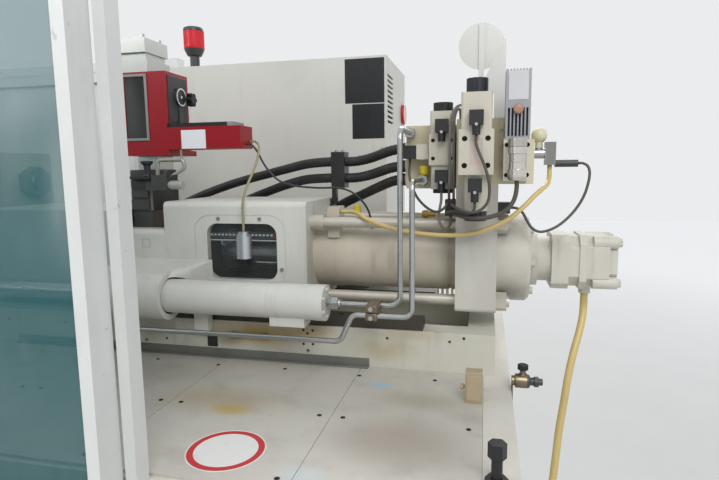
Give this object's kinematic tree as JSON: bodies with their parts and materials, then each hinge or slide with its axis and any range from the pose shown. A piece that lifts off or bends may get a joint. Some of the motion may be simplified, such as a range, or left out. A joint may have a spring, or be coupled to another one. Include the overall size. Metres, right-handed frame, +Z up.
{
  "type": "injection moulding machine",
  "caption": "Horizontal hydraulic screw injection moulding machine with open rear injection unit, sliding glazed guards, welded base and control cabinet.",
  "frame": {"origin": "on the floor under the centre of the machine's overall box", "axes": "+X along the injection axis from the clamp unit to the screw motor, +Y away from the operator, +Z up"},
  "size_m": [3.7, 1.57, 1.925],
  "materials": {
    "cream_paint": "satin, aged",
    "white_paint": "satin",
    "beige_paint": "satin, oily",
    "blue_grey_paint": "satin",
    "red_paint": "satin",
    "deck_metal": "scuffed",
    "plate_aluminium": "machined",
    "bright_steel": "ground",
    "dark_steel": "dark, worn",
    "mica_band": "heat stained",
    "teal_glazing": "clear tinted",
    "clear_glazing": "clear",
    "valve_brass": "dull",
    "beacon_red": "gloss",
    "button_red": "gloss",
    "black_plastic": "matte",
    "panel_grey": "matte",
    "hose_rubber": "matte, wrapped",
    "clear_hose": "satin",
    "lead_jacket": "matte",
    "grey_jacket": "matte"
  },
  "bodies": {
    "base": {"base_walls": "cream_paint", "base_crossmembers": "cream_paint", "levelling_feet": "dark_steel", "side_panels": "cream_paint", "hydraulic_unit": "blue_grey_paint", "deck_frame": "cream_paint", "deck_plates": "deck_metal", "unit_bed": "cream_paint", "guide_rails": "dark_steel", "fixed_platen": "cream_paint", "tie_bars": "bright_steel", "end_platen": "cream_paint", "guard_frame": "white_paint", "control_cabinet": "cream_paint", "beacon_lamp": "beacon_red", "water_valve": "valve_brass", "carriage_rods": "bright_steel", "hose_upper": "hose_rubber", "hose_middle": "hose_rubber", "hose_lower": "hose_rubber", "drain_hose": "clear_hose"},
    "carriage": {"feed_housing": "cream_paint", "sight_windows": "clear_glazing", "barrel": "bright_steel", "heater_bands": "mica_band", "barrel_cover": "cream_paint", "carriage_cylinders": "cream_paint", "feed_throat": "dark_steel", "separator_housing": "red_paint", "hopper_plates": "plate_aluminium", "injection_cylinder": "beige_paint", "cylinder_tie_rods": "bright_steel", "rear_plate": "cream_paint", "bearing_housing": "cream_paint", "screw_motor": "cream_paint", "valve_manifold": "beige_paint", "control_valves": "beige_paint", "valve_plugs": "black_plastic", "proportional_valve": "plate_aluminium", "indicator_disc": "plate_aluminium", "steel_pipes": "bright_steel", "valve_leads": "lead_jacket", "pressure_hose": "clear_hose", "separator_lead": "grey_jacket", "lead_connector": "bright_steel"},
    "injection": {"injection_piston": "bright_steel"},
    "screw": {"plasticizing_screw": "bright_steel"},
    "moving_platen": {"moving_platen": "cream_paint"},
    "ejector": {"ejector": "bright_steel"},
    "nozzle_guard": {"nozzle_guard_frame": "white_paint", "nozzle_guard_glass": "teal_glazing"},
    "mould_guard": {"mould_guard_frame": "white_paint", "mould_guard_glass": "teal_glazing"},
    "rear_guard": {"rear_guard_door": "cream_paint"},
    "cabinet_door": {"cabinet_door": "cream_paint"},
    "operator_panel": {"operator_panel": "panel_grey"},
    "stop_button": {"stop_button": "button_red"},
    "separator_knob": {"separator_knob": "black_plastic"},
    "throat_slide": {"throat_slide": "dark_steel"},
    "water_valve_knob": {"water_valve_knob": "black_plastic"}
  },
  "joints": [
    {"name": "carriage_slide", "type": "slide", "parent": "base", "child": "carriage", "axis": [1, 0, 0], "range_m": [-0.06, 0.14], "deforming": ["hose_upper", "hose_middle", "hose_lower", "drain_hose"]},
    {"name": "injection_stroke", "type": "slide", "parent": "carriage", "child": "injection", "axis": [1, 0, 0], "range_m": [0, 0.11]},
    {"name": "screw_turn", "type": "hinge", "parent": "injection", "child": "screw", "pos_m": [1.2, 0, 1.22], "axis": [1, 0, 0], "continuous": true},
    {"name": "clamp_stroke", "type": "slide", "parent": "base", "child": "moving_platen", "axis": [1, 0, 0], "range_m": [0, 0.26]},
    {"name": "ejector_stroke", "type": "slide", "parent": "moving_platen", "child": "ejector", "axis": [1, 0, 0], "range_m": [0, 0.09]},
    {"name": "nozzle_guard_slide", "type": "slide", "parent": "base", "child": "nozzle_guard", "axis": [1, 0, 0], "range_m": [-0.46, 0]},
    {"name": "mould_guard_slide", "type": "slide", "parent": "base", "child": "mould_guard", "axis": [1, 0, 0], "range_m": [0, 0.58]},
    {"name": "rear_guard_slide", "type": "slide", "parent": "base", "child": "rear_guard", "axis": [1, 0, 0], "range_m": [-0.62, 0]},
    {"name": "cabinet_door_hinge", "type": "hinge", "parent": "base", "child": "cabinet_door", "pos_m": [1.235, 0.7713, 1.385], "axis": [0, 0, -1], "range_deg": [0, 110]},
    {"name": "operator_panel_swivel", "type": "hinge", "parent": "base", "child": "operator_panel", "pos_m": [-0.8, -0.722, 1.45], "axis": [0, 0, 1], "range_deg": [0, 100]},
    {"name": "stop_button_press", "type": "slide", "parent": "operator_panel", "child": "stop_button", "axis": [0, 1, 0], "range_m": [0, 0.004], "stiffness_N_per_m": 600, "springref_m": -0.001},
    {"name": "separator_knob_turn", "type": "hinge", "parent": "carriage", "child": "separator_knob", "pos_m": [0.78, -0.012, 1.622], "axis": [1, 0, 0], "range_deg": [-180, 180]},
    {"name": "throat_slide_gate", "type": "slide", "parent": "carriage", "child": "throat_slide", "axis": [0, -1, 0], "range_m": [0, 0.045]},
    {"name": "water_valve_turn", "type": "hinge", "parent": "base", "child": "water_valve_knob", "pos_m": [1.632, -0.235, 1.02], "axis": [0, 0, 1], "range_deg": [0, 270]}
  ]
}
